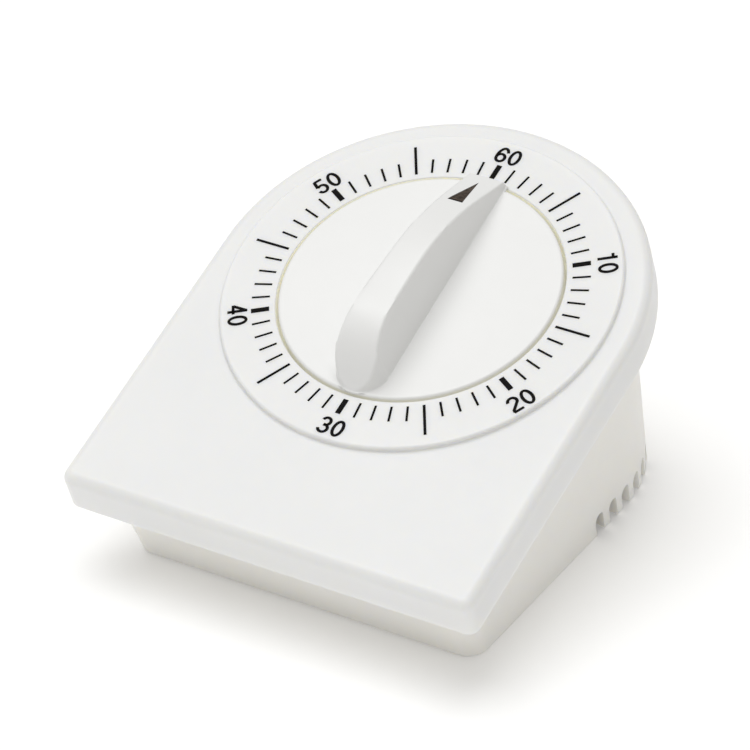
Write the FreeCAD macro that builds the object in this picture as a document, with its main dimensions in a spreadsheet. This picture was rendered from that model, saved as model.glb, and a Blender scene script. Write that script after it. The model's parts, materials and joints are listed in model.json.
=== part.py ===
import FreeCAD, Part
import Sketcher
import math
import os

# A mechanical sixty minute kitchen timer. Every piece is modelled in the dial's own frame:
# origin at the centre of the dial, x to the right, y up the face, z straight out of the face.
# The finished pieces are then leaned back as one, so that the wedge stands flat on z = 0.

os.makedirs("parts", exist_ok=True)
doc = FreeCAD.newDocument("kitchen_timer")

DIMENSIONS = {
    # how the face leans and where the centre of the dial is, in the standing frame
    "tilt": 22.6,
    "dial_height": 43.4,
    "dial_setback": 0.391,
    # face plate: an arch about the dial with a straight front edge
    "plate_radius": 40.0,
    "plate_front": 57.8,
    "plate_corner": 2.2,
    "plate_depth": 9.0,
    "plate_wall": 2.0,
    "plate_edge": 1.9,
    "plateau_radius": 35.4,
    "plateau_rise": 1.0,
    "plateau_edge": 0.7,
    "well_radius": 25.7,
    "well_depth": 5.0,
    "well_wall": 1.8,
    "well_bore": 3.4,
    # base: the same arch, inset and narrowing towards the table
    "base_radius": 35.55,
    "base_front": 53.85,
    "base_corner": 5.2,
    "base_slope": 0.09,
    "base_reach": 62.0,
    "base_wall": 2.2,
    "base_floor": 2.0,
    "flange_gap": 0.15,
    "flange_thick": 1.6,
    "vent_width": 3.0,
    "vent_rise": 5.5,
    "vent_first": -15.6,
    "vent_pitch": 8.1,
    "vent_count": 6,
    # case screws, square to the face, from under the base into posts of the face plate
    "boss_radius": 3.1,
    "boss_top": 12.2,
    "boss_seat": 16.0,
    "boss_sink": 2.5,
    "boss_hole": 1.4,
    "post_end": 12.0,
    "post_pilot": 1.25,
    "screw_shank": 1.2,
    "screw_head": 2.2,
    "screw_head_thick": 1.6,
    "screw_end": 5.0,
    # knob
    "knob_radius": 24.8,
    "knob_top": 0.3,
    "knob_skin": 2.0,
    "knob_skirt": 4.2,
    "knob_edge": 0.8,
    "hub_radius": 4.4,
    "hub_end": 4.6,
    "fin_front": 24.6,
    "fin_back": 24.4,
    "fin_nose_half": 4.1,
    "fin_tail_half": 5.4,
    "fin_taper": 9.0,
    "fin_round": 0.9,
    "fin_tip": 1.4,
    "fin_bend": 11.8,
    "fin_bend_rise": 7.6,
    "fin_crest": 10.3,
    "fin_crest_front": -8.0,
    "fin_crest_back": -14.2,
    "mark_apex": 22.6,
    "mark_foot": 15.2,
    "mark_half": 1.5,
    "mark_deep": 0.35,
    # movement: two round plates on four pillars
    "frame_radius": 24.4,
    "frame_thick": 1.2,
    "front_plate": 12.2,
    "back_plate": 27.2,
    "pillar_radius": 1.8,
    "pillar_circle": 22.0,
    "mount_circle": 20.0,
    "mount_radius": 2.6,
    "mount_pilot": 0.95,
    "mount_shank": 0.9,
    "mount_head": 1.8,
    "mount_head_thick": 1.1,
    "pivot": 0.5,
    "pivot_hole": 0.55,
    "end_shake": 0.15,
    "arbor": 0.8,
    "main_arbor": 2.0,
    "main_hole": 2.06,
    "main_pivot": 1.2,
    "main_pivot_hole": 1.26,
    "seat_gap": 0.02,
    # gear train: tooth counts, modules and face widths
    "great_teeth": 56,
    "great_module": 0.45,
    "pinion_leaves": 8,
    "second_teeth": 60,
    "fine_module": 0.3,
    "third_teeth": 56,
    "escape_leaves": 7,
    "escape_teeth": 15,
    "escape_tip": 5.5,
    "escape_root": 4.1,
    "ratchet_teeth": 18,
    "ratchet_tip": 5.0,
    "ratchet_root": 4.3,
    "cam_radius": 7.0,
    "cam_notch": 3.0,
    "cam_notch_deep": 1.8,
    # how deep the lower face of each flat piece lies below the dial surface, and its thickness
    "clip_level": 10.8,
    "cam_level": 13.6,
    "cam_thick": 1.0,
    "trip_level": 13.5,
    "third_level": 15.1,
    "third_leaves_level": 17.4,
    "escape_leaves_level": 15.5,
    "second_level": 17.0,
    "second_leaves_level": 19.9,
    "escape_level": 17.0,
    "great_level": 19.5,
    "great_thick": 1.0,
    "ratchet_level": 20.7,
    "click_level": 20.5,
    "click_spring_level": 20.4,
    "click_stud_level": 21.0,
    "sheet_thick": 0.8,
    "pallet_level": 18.0,
    "pallet_thick": 0.7,
    "roller_level": 19.3,
    "balance_level": 22.9,
    "hairspring_level": 24.9,
    "collet_level": 24.95,
    "star_level": 25.0,
    "mainspring_level": 25.3,
    "arm_level": 29.4,
    "head_level": 33.0,
    "coil_level": 18.0,
    "trip_coil_level": 14.2,
    # springs
    "mainspring_in": 2.9,
    "mainspring_out": 9.3,
    "mainspring_turns": 7,
    "mainspring_leaf": 0.3,
    "mainspring_width": 4.0,
    "hairspring_in": 1.5,
    "hairspring_out": 5.0,
    "hairspring_turns": 6,
    "hairspring_leaf": 0.12,
    "hairspring_width": 0.7,
    # balance and pallet
    "balance_radius": 7.4,
    "balance_rim": 1.3,
    "balance_thick": 1.4,
    "roller_radius": 3.1,
    "impulse_circle": 2.5,
    "pallet_pin": 0.3,
    "pallet_arm": 2.94,
    "pallet_fork": 6.1,
    "click_radius": 8.2,
    "star_tip": 3.2,
    "star_root": 1.7,
    "hammer_arbor": 1.0,
    "hammer_hole": 1.06,
    "hammer_tail": 15.2,
    "bell_gap": 0.4,
    "bell_tenon": 1.0,
    "bell_post": 2.2,
    "pillar_tap": 0.82,
    "plate_shank": 0.8,
    # bell and hammer
    "bell_sphere": 20.0,
    "bell_wall": 0.9,
    "bell_centre": 17.5,
    "bell_rim": 29.5,
    "bell_offset": 5.0,
    "bell_hole": 1.6,
    "hammer_head": 2.2,
}

sheet = doc.addObject("Spreadsheet::Sheet", "dims")
for row, (alias, number) in enumerate(DIMENSIONS.items(), start=1):
    sheet.set(f"A{row}", alias)
    sheet.set(f"B{row}", str(number))
    sheet.setAlias(f"B{row}", alias)
doc.recompute()


def dim(alias):
    """The number in the sheet's cell of that name."""
    return float(sheet.get(alias))


nodes = []
upright = FreeCAD.Placement(
    FreeCAD.Vector(0, dim("dial_setback"), dim("dial_height")),
    FreeCAD.Rotation(FreeCAD.Vector(1, 0, 0), dim("tilt")),
)


def shift(x=0.0, y=0.0, z=0.0, turn=0.0):
    """A placement in the dial frame: a turn about z, then a move."""
    return FreeCAD.Placement(FreeCAD.Vector(x, y, z), FreeCAD.Rotation(FreeCAD.Vector(0, 0, 1), turn))


def finish(piece, label, x=0.0, y=0.0, z=0.0, turn=0.0):
    """Names a finished sub-part and sets it in its place, leaned back with the face."""
    piece.Label = label
    piece.Placement = upright.multiply(shift(x, y, z, turn))
    nodes.append(piece)
    return piece


def bind(piece, **expressions):
    """Binds properties to the sheet; a double underscore stands for a dot in a property's path."""
    for path, expression in expressions.items():
        piece.setExpression(path.replace("__", "."), expression)
    return piece


def move(piece, x=None, y=None, z=None):
    """Binds the position of a construction solid to expressions."""
    for axis, expression in (("x", x), ("y", y), ("z", z)):
        if expression is not None:
            piece.setExpression(f"Placement.Base.{axis}", expression)
    return piece


def cylinder(name, radius, height, x=None, y=None, z=None):
    piece = bind(doc.addObject("Part::Cylinder", name), Radius=radius, Height=height)
    return move(piece, x, y, z)


def box(name, length, width, height, x=None, y=None, z=None):
    piece = bind(doc.addObject("Part::Box", name), Length=length, Width=width, Height=height)
    return move(piece, x, y, z)


def fuse(name, pieces):
    piece = doc.addObject("Part::MultiFuse", name)
    piece.Shapes = pieces
    return piece


def cut(name, base, tools):
    """The base less one or more tools, with a check that material was really taken away."""
    piece = doc.addObject("Part::Cut", name)
    piece.Base = base
    piece.Tool = tools[0] if len(tools) == 1 else fuse(f"{name}_tools", tools)
    doc.recompute()
    if not piece.Shape.Volume < base.Shape.Volume - 1e-4:
        raise RuntimeError(f"{name}: the cut removed nothing")
    return piece


def common(name, pieces):
    piece = doc.addObject("Part::MultiCommon", name)
    piece.Shapes = pieces
    return piece


def ring(name, outer, inner, height, z=None):
    """A washer, or a disc with a bore."""
    disc = cylinder(f"{name}_disc", outer, height, z=z)
    bore = cylinder(f"{name}_bore", inner, f"{height} + 2", z=f"{z or '0'} - 1")
    return cut(name, disc, [bore])


def origin_plane(body, role):
    """One of a body's own origin planes."""
    return next(plane for plane in body.Origin.OriginFeatures if plane.Role == role)


def line(x1, y1, x2, y2):
    return Part.LineSegment(FreeCAD.Vector(x1, y1, 0), FreeCAD.Vector(x2, y2, 0))


def arc(x, y, radius, start, end):
    circle = Part.Circle(FreeCAD.Vector(x, y, 0), FreeCAD.Vector(0, 0, 1), radius)
    return Part.ArcOfCircle(circle, math.radians(start), math.radians(end))


def arch_sketch(body, name, radius, front, corner, z):
    """A semicircle about the dial, two straight sides, and a straight front with round corners."""
    sketch = body.newObject("Sketcher::SketchObject", name)
    sketch.AttachmentSupport = [(origin_plane(body, "XY_Plane"), "")]
    sketch.MapMode = "FlatFace"
    sketch.setExpression("AttachmentOffset.Base.z", z)
    wide, low, bend = 36.0, 54.0, 3.0
    sketch.addGeometry(
        [
            arc(0, 0, wide, 0, 180),
            line(-wide, 0, -wide, bend - low),
            arc(bend - wide, bend - low, bend, 180, 270),
            line(bend - wide, -low, wide - bend, -low),
            arc(wide - bend, bend - low, bend, 270, 360),
            line(wide, bend - low, wide, 0),
        ],
        False,
    )
    tangent = [(0, 2, 1, 1), (1, 2, 2, 1), (2, 2, 3, 1), (3, 2, 4, 1), (4, 2, 5, 1), (5, 2, 0, 1)]
    for joint in tangent:
        sketch.addConstraint(Sketcher.Constraint("Tangent", *joint))
    sketch.addConstraint(Sketcher.Constraint("Coincident", 0, 3, -1, 1))
    sketch.addConstraint(Sketcher.Constraint("Vertical", 1))
    sketch.addConstraint(Sketcher.Constraint("Vertical", 5))
    sketch.addConstraint(Sketcher.Constraint("Horizontal", 3))
    sketch.addConstraint(Sketcher.Constraint("Equal", 2, 4))
    for label, constraint, expression in (
        ("wide", Sketcher.Constraint("Radius", 0, wide), radius),
        ("bend", Sketcher.Constraint("Radius", 2, bend), corner),
        ("low", Sketcher.Constraint("DistanceY", 3, 1, -1, 1, low), front),
    ):
        index = sketch.addConstraint(constraint)
        sketch.renameConstraint(index, label)
        sketch.setExpression(f"Constraints.{label}", expression)
    return sketch


def arch_pad(name, radius, front, corner, bottom, height):
    """A body with one straight pad of the arch."""
    body = doc.addObject("PartDesign::Body", name)
    pad = body.newObject("PartDesign::Pad", f"{name}_pad")
    pad.Profile = arch_sketch(body, f"{name}_outline", radius, front, corner, bottom)
    bind(pad, Length=height)
    return body


def edges_at(shape, z, reach=0.0):
    """Names of the edges that lie wholly at height z, at least reach away from the axis."""
    found = []
    for index, edge in enumerate(shape.Edges, start=1):
        ends = [edge.valueAt(p) for p in (edge.FirstParameter, edge.LastParameter)]
        middle = edge.valueAt((edge.FirstParameter + edge.LastParameter) / 2)
        flat = all(abs(p.z - z) < 1e-5 for p in [*ends, middle])
        if flat and math.hypot(middle.x, middle.y) > reach:
            found.append(f"Edge{index}")
    return found


def post_places():
    """Centres of the four case screws in the dial frame."""
    return [(-27.0, -42.0), (27.0, -42.0), (-19.8, 19.8), (19.8, 19.8)]


def mount_places():
    """Centres of the three screws that hold the movement to the face plate."""
    return [polar(dim("mount_circle"), angle) for angle in (80.0, 165.0, 320.0)]


def polar(radius, angle):
    return radius * math.cos(math.radians(angle)), radius * math.sin(math.radians(angle))


def pegs(name, places, radius, height, z):
    """Equal cylinders, one at each place."""
    made = []
    for number, (x, y) in enumerate(places, start=1):
        made.append(cylinder(f"{name}_{number}", radius, height, str(x), str(y), z))
    return made


def make_face_plate():
    block = arch_pad(
        "plate_block",
        "dims.plate_radius",
        "dims.plate_front",
        "dims.plate_corner",
        "-dims.plate_depth",
        "dims.plate_depth - dims.plateau_rise",
    )
    doc.recompute()
    pad, rim = block.Tip, edges_at(block.Shape, -dim("plateau_rise"))
    rounding = block.newObject("PartDesign::Fillet", "plate_rounding")
    rounding.Base = (pad, rim)
    bind(rounding, Radius="dims.plate_edge")
    plateau = cylinder("plateau_disc", "dims.plateau_radius", "dims.plateau_rise + 1")
    move(plateau, z="-dims.plateau_rise - 1")
    doc.recompute()
    soft = doc.addObject("Part::Fillet", "plateau")
    soft.Base = plateau
    edge = dim("plateau_edge")
    soft.Edges = [(int(name[4:]), edge, edge) for name in edges_at(plateau.Shape, 0.0)]
    cavity = arch_pad(
        "plate_cavity",
        "dims.plate_radius - dims.plate_wall",
        "dims.plate_front - dims.plate_wall",
        "dims.plate_corner",
        "-dims.plate_depth - 1",
        "dims.plate_depth + 1 - dims.plateau_rise - dims.plate_wall",
    )
    tray = cut("plate_tray", fuse("plate_top", [block, soft]), [cavity])
    cup = cylinder(
        "well_cup",
        "dims.well_radius + dims.well_wall",
        "dims.well_depth + dims.well_wall - 2",
        z="-dims.well_depth - dims.well_wall",
    )
    posts = pegs("case_post", post_places(), "dims.boss_radius", "dims.post_end - 2", "-dims.post_end")
    mounts = pegs(
        "mount_post",
        mount_places(),
        "dims.mount_radius",
        "dims.front_plate - dims.frame_thick - dims.well_depth - 1",
        "-dims.front_plate + dims.frame_thick",
    )
    whole = fuse("plate_whole", [tray, cup, *posts, *mounts])
    holes = [
        cylinder("well_room", "dims.well_radius", "dims.well_depth + 1", z="-dims.well_depth"),
        cylinder("well_hole", "dims.well_bore", "20", z="-15"),
        *pegs("post_pilot", post_places(), "dims.post_pilot", "dims.post_end - 4", "-dims.post_end - 0.1"),
        *pegs("mount_pilot", mount_places(), "dims.mount_pilot", "4", "-dims.front_plate + 1"),
    ]
    finish(cut("face_plate_solid", whole, holes), "face_plate")


def base_loft(name, inset, top):
    """The drafted arch from just under the face plate down past the table."""
    body = doc.addObject("PartDesign::Body", name)
    sketches = []
    for level, depth in (("top", top), ("low", "dims.base_reach")):
        drop = f"dims.base_slope * ({depth} - dims.plate_depth) + {inset}"
        sketches.append(
            arch_sketch(
                body,
                f"{name}_{level}",
                f"dims.base_radius - ({drop})",
                f"dims.base_front - ({drop})",
                f"dims.base_corner - dims.base_slope * ({depth} - dims.plate_depth)",
                f"-({depth})",
            )
        )
    loft = body.newObject("PartDesign::AdditiveLoft", f"{name}_loft")
    loft.Profile = sketches[0]
    loft.Sections = [sketches[1]]
    loft.Ruled = True
    return body


def below_table(name, rise):
    """A block that fills everything under a level above the table, seen from the dial frame."""
    block = box(name, "300", "300", "150")
    block.Placement = upright.inverse().multiply(shift(-150, -150, rise - 150))
    return block


def table_depth(y):
    """How far the table is below the dial surface at a height y up the face, square to the face."""
    lean = math.radians(dim("tilt"))
    return (dim("dial_height") + y * math.sin(lean)) / math.cos(lean)


def vent_tools():
    """Slots through the foot of the wall with round tops, six on each side of the back."""
    tools = []
    half = dim("vent_width") / 2
    for number in range(int(dim("vent_count"))):
        for side in ("right", "left"):
            angle = dim("vent_first") + number * dim("vent_pitch")
            angle = angle if side == "right" else 180 - angle
            x, y = polar(28.9, angle)
            top = dim("vent_rise") - half - table_depth(polar(31.8, angle)[1])
            slot = box(f"vent_{side}_{number}", "12", "dims.vent_width", "30")
            slot.Placement = shift(x, y, top - 30, angle).multiply(shift(0, -half, 0))
            crown = cylinder(f"vent_crown_{side}_{number}", "dims.vent_width / 2", "12")
            along = FreeCAD.Rotation(FreeCAD.Vector(0, 1, 0), 90)
            crown.Placement = shift(x, y, top, angle).multiply(FreeCAD.Placement(FreeCAD.Vector(), along))
            tools += [slot, crown]
    return tools


def make_base_shell():
    outer = cut("base_outer", base_loft("base_wall_out", "0", "dims.plate_depth"), [below_table("table", 0)])
    inner = cut(
        "base_inner",
        base_loft("base_wall_in", "dims.base_wall", "dims.plate_depth - dims.flange_thick - 1"),
        [below_table("inner_table", dim("base_floor"))],
    )
    flange = arch_pad(
        "base_flange",
        "dims.plate_radius - dims.plate_wall - dims.flange_gap",
        "dims.plate_front - dims.plate_wall - dims.flange_gap",
        "dims.plate_corner",
        "-dims.plate_depth",
        "dims.flange_thick",
    )
    shell = cut("base_hollow", fuse("base_block", [outer, flange]), [inner])
    tubes = pegs("boss", post_places(), "dims.boss_radius", "60 - dims.boss_top", "-60")
    bosses = common("bosses", [fuse("boss_tubes", tubes), outer])
    holes = [
        *pegs("boss_hole", post_places(), "dims.boss_hole", "80", "-80"),
        *pegs("boss_sink", post_places(), "dims.boss_sink", "80 - dims.boss_seat", "-80"),
    ]
    vented = cut("base_vented", shell, vent_tools())
    finish(cut("base_shell_solid", fuse("base_whole", [vented, bosses]), holes), "base_shell")


def make_case_screws():
    made = []
    for number, (x, y) in enumerate(post_places(), start=1):
        head = cylinder(f"case_head_{number}", "dims.screw_head", "dims.screw_head_thick", str(x), str(y))
        move(head, z="-dims.boss_seat - dims.screw_head_thick")
        shank = cylinder(f"case_shank_{number}", "dims.screw_shank", "dims.boss_seat - dims.screw_end")
        move(shank, str(x), str(y), "-dims.boss_seat")
        made.append(fuse(f"case_screw_{number}", [head, shank]))
    slots = []
    for number, (x, y) in enumerate(post_places(), start=1):
        slot = box(f"case_slot_{number}", "3", "0.7", "0.8", f"{x} - 1.5", f"{y} - 0.35")
        slots.append(move(slot, z="-dims.boss_seat - dims.screw_head_thick - 0.1"))
    group = doc.addObject("Part::Compound", "case_screw_group")
    group.Links = made
    finish(cut("case_screw_set", group, slots), "case_screws")


def fin_side():
    """The grip seen from the side: a long slope behind the nose, a level crest, a steep round tail."""
    front, back, crest = dim("fin_front"), dim("fin_back"), dim("fin_crest")
    bend, rise, tip = dim("fin_bend"), dim("fin_bend_rise"), dim("fin_tip")
    start, end = dim("fin_crest_front"), dim("fin_crest_back")
    over = FreeCAD.Vector(0, (bend + start) / 2, (rise + crest) / 2 + 0.75)
    behind = FreeCAD.Vector(0, end - 6.3, crest * 0.7)
    outline = Part.Wire(
        [
            Part.makeLine((0, front, -1), (0, front, tip)),
            Part.makeLine((0, front, tip), (0, bend, rise)),
            Part.Arc(FreeCAD.Vector(0, bend, rise), over, FreeCAD.Vector(0, start, crest)).toShape(),
            Part.makeLine((0, start, crest), (0, end, crest)),
            Part.Arc(FreeCAD.Vector(0, end, crest), behind, FreeCAD.Vector(0, -back, 0.4)).toShape(),
            Part.makeLine((0, -back, 0.4), (0, -back, -1)),
            Part.makeLine((0, -back, -1), (0, front, -1)),
        ]
    )
    return Part.Face(outline).extrude(FreeCAD.Vector(20, 0, 0)).translated(FreeCAD.Vector(-10, 0, 0))


def fin_plan(height):
    """The grip's outline in plan at one height; its flanks lean in as they rise."""
    lean = math.tan(math.radians(dim("fin_taper"))) * height
    nose, tail = dim("fin_nose_half") - lean, dim("fin_tail_half") - lean
    front, back = dim("fin_front") + 1, dim("fin_back") - tail
    left, right = FreeCAD.Vector(-tail, -back, height), FreeCAD.Vector(tail, -back, height)
    return Part.Wire(
        [
            Part.makeLine((-tail, -back, height), (-nose, front, height)),
            Part.makeLine((-nose, front, height), (nose, front, height)),
            Part.makeLine((nose, front, height), (tail, -back, height)),
            Part.Arc(right, FreeCAD.Vector(0, -back - tail, height), left).toShape(),
        ]
    )


def crest_edges(shape):
    """Numbers of the edges where the grip's flanks meet its slope, crest and tail."""
    found = []
    for number, edge in enumerate(shape.Edges, start=1):
        middle = edge.valueAt((edge.FirstParameter + edge.LastParameter) / 2)
        if abs(middle.x) > 0.5 and middle.z > 0.9:
            found.append(number)
    return found


def mark_prism(name, thickness):
    """The pointer: a thin triangle lying in the slope behind the nose."""
    run, rise = dim("fin_front") - dim("fin_bend"), dim("fin_bend_rise") - dim("fin_tip")
    lean = math.atan2(rise, run)
    foot = (dim("fin_front") - dim("mark_foot")) / run * rise + dim("fin_tip")
    length = (dim("mark_apex") - dim("mark_foot")) / math.cos(lean)
    body = doc.addObject("PartDesign::Body", name)
    sketch = body.newObject("Sketcher::SketchObject", f"{name}_outline")
    sketch.AttachmentSupport = [(origin_plane(body, "XY_Plane"), "")]
    sketch.MapMode = "FlatFace"
    half = dim("mark_half")
    sketch.addGeometry([line(-half, 0, half, 0), line(half, 0, 0, length), line(0, length, -half, 0)], False)
    for first, second in ((0, 1), (1, 2), (2, 0)):
        sketch.addConstraint(Sketcher.Constraint("Coincident", first, 2, second, 1))
    sketch.addConstraint(Sketcher.Constraint("Horizontal", 0))
    sketch.addConstraint(Sketcher.Constraint("Symmetric", 0, 1, 0, 2, -1, 1))
    width = sketch.addConstraint(Sketcher.Constraint("DistanceX", 0, 1, 0, 2, 2 * half))
    sketch.renameConstraint(width, "width")
    sketch.setExpression("Constraints.width", "dims.mark_half * 2")
    sketch.addConstraint(Sketcher.Constraint("DistanceY", 0, 2, 1, 2, length))
    sketch.addConstraint(Sketcher.Constraint("PointOnObject", 1, 2, -2))
    pad = body.newObject("PartDesign::Pad", f"{name}_pad")
    pad.Profile = sketch
    bind(pad, Length=thickness)
    down = FreeCAD.Rotation(FreeCAD.Vector(1, 0, 0), -math.degrees(lean))
    sunk = FreeCAD.Placement(FreeCAD.Vector(0, 0, -dim("mark_deep")), FreeCAD.Rotation())
    place = FreeCAD.Placement(FreeCAD.Vector(0, dim("mark_foot"), foot), down).multiply(sunk)
    return body, place


def make_knob():
    disc = cylinder("knob_disc", "dims.knob_radius", "dims.knob_top + dims.knob_skirt", z="-dims.knob_skirt")
    doc.recompute()
    soft = doc.addObject("Part::Fillet", "knob_dish")
    soft.Base = disc
    edge = dim("knob_edge")
    soft.Edges = [(int(name[4:]), edge, edge) for name in edges_at(disc.Shape, dim("knob_top"))]
    room = cylinder(
        "knob_room",
        "dims.knob_radius - dims.knob_skin",
        "dims.knob_skirt + dims.knob_top - dims.knob_skin",
        z="-dims.knob_skirt",
    )
    fin = doc.addObject("Part::Feature", "knob_fin")
    low, high = fin_plan(-1.0), fin_plan(12.0)
    fin.Shape = Part.makeLoft([low, high], True, True).common(fin_side())
    grip = doc.addObject("Part::Fillet", "knob_grip")
    grip.Base = fin
    edge = dim("fin_round")
    grip.Edges = [(number, edge, edge) for number in crest_edges(fin.Shape)]
    hub = cylinder("knob_hub", "dims.hub_radius", "dims.hub_end", z="-dims.hub_end")
    whole = fuse("knob_whole", [cut("knob_shell", soft, [room]), grip, hub])
    tool, place = mark_prism("mark_room", "dims.mark_deep + 1")
    tool.Placement = place
    bore = cylinder("knob_bore", "dims.main_arbor + dims.seat_gap", "dims.hub_end + 5", z="-dims.hub_end - 1")
    finish(cut("knob_solid", whole, [tool, bore]), "knob")
    mark, place = mark_prism("pointer", "dims.mark_deep - 0.05")
    mark.Label = "pointer_mark"
    mark.Placement = upright.multiply(place)
    nodes.append(mark)


# places of the arbors in the dial frame: each follows from the last at the pair's centre distance
def step(start, distance, angle):
    dx, dy = polar(distance, angle)
    return start[0] + dx, start[1] + dy


def centres(module, wheel, pinion):
    return dim(module) * (dim(wheel) + dim(pinion)) / 2


SECOND_AIM, THIRD_AIM, ESCAPE_AIM = 150.0, 45.0, -5.0
MAIN = (0.0, 0.0)
SECOND = step(MAIN, centres("great_module", "great_teeth", "pinion_leaves"), SECOND_AIM)
THIRD = step(SECOND, centres("fine_module", "second_teeth", "pinion_leaves"), THIRD_AIM)
ESCAPE = step(THIRD, centres("fine_module", "third_teeth", "escape_leaves"), ESCAPE_AIM)
PALLET_AIM = -25.0
PALLET = step(ESCAPE, 8.03, PALLET_AIM)
BALANCE_AIM = -50.0
BALANCE = step(PALLET, 9.0, BALANCE_AIM)
HAMMER = (-18.0, -11.0)
HAMMER_SIDE = 205.0
TRIP = (-2.2, -12.8)
TRIP_ELBOW = (6.4, -6.4)
TRIP_NOSE = (5.13, -5.13)
SPRING_END = 260.0
HAIRSPRING_END = 300.0
BELL = (0.0, dim("bell_offset"))
PILLARS = [polar(dim("pillar_circle"), angle) for angle in (60.0, 185.0, 235.0, 300.0)]


def toothed(teeth, module, addendum, dedendum, shares, phase):
    """A gear outline: straight flanks through root, pitch circle and tip of every tooth.
    shares are the tooth's width at root, pitch circle and tip as parts of the pitch."""
    radius = module * teeth / 2
    pitch = 2 * math.pi / teeth
    levels = (radius - dedendum * module, radius, radius + addendum * module)
    points = []
    for tooth in range(int(teeth)):
        centre = math.radians(phase) + tooth * pitch
        rising = [(level, centre - share * pitch / 2) for level, share in zip(levels, shares)]
        falling = [(level, centre + share * pitch / 2) for level, share in zip(levels, shares)]
        for level, angle in rising + falling[::-1]:
            points.append(FreeCAD.Vector(level * math.cos(angle), level * math.sin(angle), 0))
    return Part.makePolygon(points + points[:1])


def plate_of(outline, thickness, bore):
    """A flat piece of sheet in the shape of an outline, with a bore on its axis."""
    sheet_metal = Part.Face(outline).extrude(FreeCAD.Vector(0, 0, thickness))
    if bore:
        sheet_metal = sheet_metal.cut(Part.makeCylinder(bore, thickness + 2, FreeCAD.Vector(0, 0, -1)))
    return sheet_metal


def feature(label, shape, place, z, turn=0.0):
    piece = doc.addObject("Part::Feature", f"{label}_solid")
    piece.Shape = shape
    finish(piece, label, place[0], place[1], z, turn)


WHEEL_SHARES = (0.52, 0.40, 0.15)
LEAF_SHARES = (0.28, 0.34, 0.17)


def wheel(teeth, module, phase):
    return toothed(dim(teeth), dim(module), 0.9, 1.25, WHEEL_SHARES, phase)


def pinion(leaves, module, phase):
    return toothed(dim(leaves), dim(module), 0.55, 1.35, LEAF_SHARES, phase)


def spokes(shape, inner, outer, width, thickness, count):
    """Opens a wheel's web between its hub and its rim, leaving spokes."""
    web = Part.makeCylinder(outer, thickness + 2, FreeCAD.Vector(0, 0, -1))
    web = web.cut(Part.makeCylinder(inner, thickness + 2, FreeCAD.Vector(0, 0, -1)))
    for number in range(count):
        bar = Part.makeBox(outer + 1, width, thickness + 4, FreeCAD.Vector(0, -width / 2, -2))
        bar.rotate(FreeCAD.Vector(), FreeCAD.Vector(0, 0, 1), 360 * number / count)
        web = web.cut(bar)
    return shape.cut(web)


def turned(label, place, rounds, extra=None):
    """A shaft turned from coaxial rounds, (radius, from, to), and joined with what else is cut on it."""
    shapes = [Part.makeCylinder(r, high - low, FreeCAD.Vector(0, 0, low)) for r, low, high in rounds]
    if extra is not None:
        shapes.append(extra)
    feature(label, shapes[0].multiFuse(shapes[1:]).removeSplitter(), place, 0.0)


def pivoted(label, place, radius, extra=None):
    """An arbor between the two plates of the movement, with a pivot in each."""
    front, back = -dim("front_plate"), -dim("back_plate") + dim("frame_thick")
    shake, pivot, thick = dim("end_shake"), dim("pivot"), dim("frame_thick")
    rounds = [
        (radius, back + shake, front - shake),
        (pivot, front - shake, front + thick),
        (pivot, back - thick, back + shake),
    ]
    turned(label, place, rounds, extra)


def at_level(shape, z):
    return shape.translated(FreeCAD.Vector(0, 0, z))


def bored(shape, radius, x=0.0, y=0.0):
    """The shape with a round hole through it, parallel to the arbors."""
    return shape.cut(Part.makeCylinder(radius, 20, FreeCAD.Vector(x, y, -10)))


def star_outline(count, profile, phase=0.0):
    """A closed outline of equal teeth, each through (radius, angle from its own centre) points."""
    points = []
    for tooth in range(int(count)):
        for radius, angle in profile:
            points.append(FreeCAD.Vector(*polar(radius, phase + 360 / count * tooth + angle), 0))
    return Part.makePolygon(points + points[:1])


def bar(x1, y1, x2, y2, width, thickness):
    """A flat strip of sheet from one point to another."""
    strip = Part.makeBox(math.hypot(x2 - x1, y2 - y1), width, thickness, FreeCAD.Vector(0, -width / 2, 0))
    strip.rotate(FreeCAD.Vector(), FreeCAD.Vector(0, 0, 1), math.degrees(math.atan2(y2 - y1, x2 - x1)))
    return strip.translated(FreeCAD.Vector(x1, y1, 0))


def eye(x, y, radius, thickness):
    return Part.makeCylinder(radius, thickness, FreeCAD.Vector(x, y, 0))


def joined(shapes):
    return shapes[0].multiFuse(shapes[1:]).removeSplitter()


def make_frame_plates():
    trains = [SECOND, THIRD, ESCAPE, PALLET, BALANCE]
    through = "dims.frame_thick + 2"
    front = cylinder("front_disc", "dims.frame_radius", "dims.frame_thick", z="-dims.front_plate")
    low = "-dims.front_plate - 1"
    holes = [
        cylinder("front_main_hole", "dims.main_hole", through, z=low),
        *pegs("front_pivot_hole", [*trains, HAMMER], "dims.pivot_hole", through, low),
        *pegs("front_mount_hole", mount_places(), "dims.mount_pilot + 0.05", through, low),
        *pegs("front_pillar_hole", PILLARS, "dims.pillar_radius * 0.6 + dims.seat_gap", through, low),
    ]
    finish(cut("front_plate_solid", front, holes), "movement_front_plate")
    back = cylinder("back_disc", "dims.frame_radius", "dims.frame_thick", z="-dims.back_plate")
    low = "-dims.back_plate - 1"
    holes = [
        cylinder("back_main_hole", "dims.main_pivot_hole", through, z=low),
        *pegs("back_hammer_hole", [HAMMER], "dims.hammer_hole", through, low),
        *pegs("back_bell_hole", [BELL], "dims.bell_tenon + dims.seat_gap", through, low),
        *pegs("back_pivot_hole", trains, "dims.pivot_hole", through, low),
        *pegs("back_pillar_hole", PILLARS, "dims.plate_shank + 0.05", through, low),
    ]
    finish(cut("back_plate_solid", back, holes), "movement_back_plate")


def group_of(name, pieces, label):
    """Equal pieces that make up one node, each its own solid."""
    group = doc.addObject("Part::Compound", name)
    group.Links = pieces
    finish(group, label)


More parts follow.
